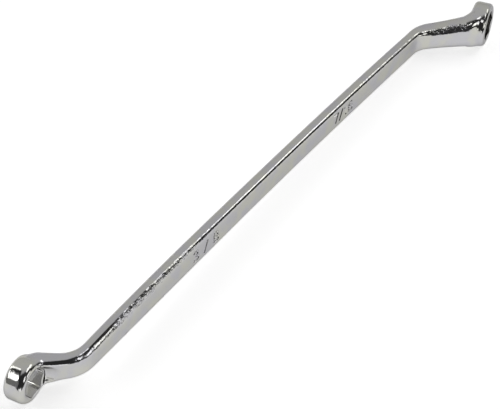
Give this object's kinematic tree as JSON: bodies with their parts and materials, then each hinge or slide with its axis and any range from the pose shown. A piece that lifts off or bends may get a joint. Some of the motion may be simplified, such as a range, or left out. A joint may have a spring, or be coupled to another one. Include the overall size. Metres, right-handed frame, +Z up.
{
  "type": "brake bleeder wrench",
  "caption": "Slim chrome-plated forged box-end wrench with S-bent necks and a hexagon socket in each offset head, for turning brake bleeder screws.",
  "frame": {"origin": "Middle of the underside of the bounding box, with the wrench lying on a bench as it comes to rest: on the rim of each head and on the lower edge of the shank near the far bend.", "axes": "+X runs along the shank from the smaller head to the larger one, +Z is up from the bench, and the larger head is offset towards -Y. The plane of the S is rolled about 18 degrees from the bench about X."},
  "size_m": [0.2786, 0.0392, 0.0191],
  "materials": {
    "chrome": "bright chrome plate over a forged and tumbled surface"
  },
  "bodies": {
    "root": {"shank": "chrome", "near_neck": "chrome", "far_neck": "chrome", "near_box_end": "chrome", "far_box_end": "chrome"}
  },
  "joints": []
}
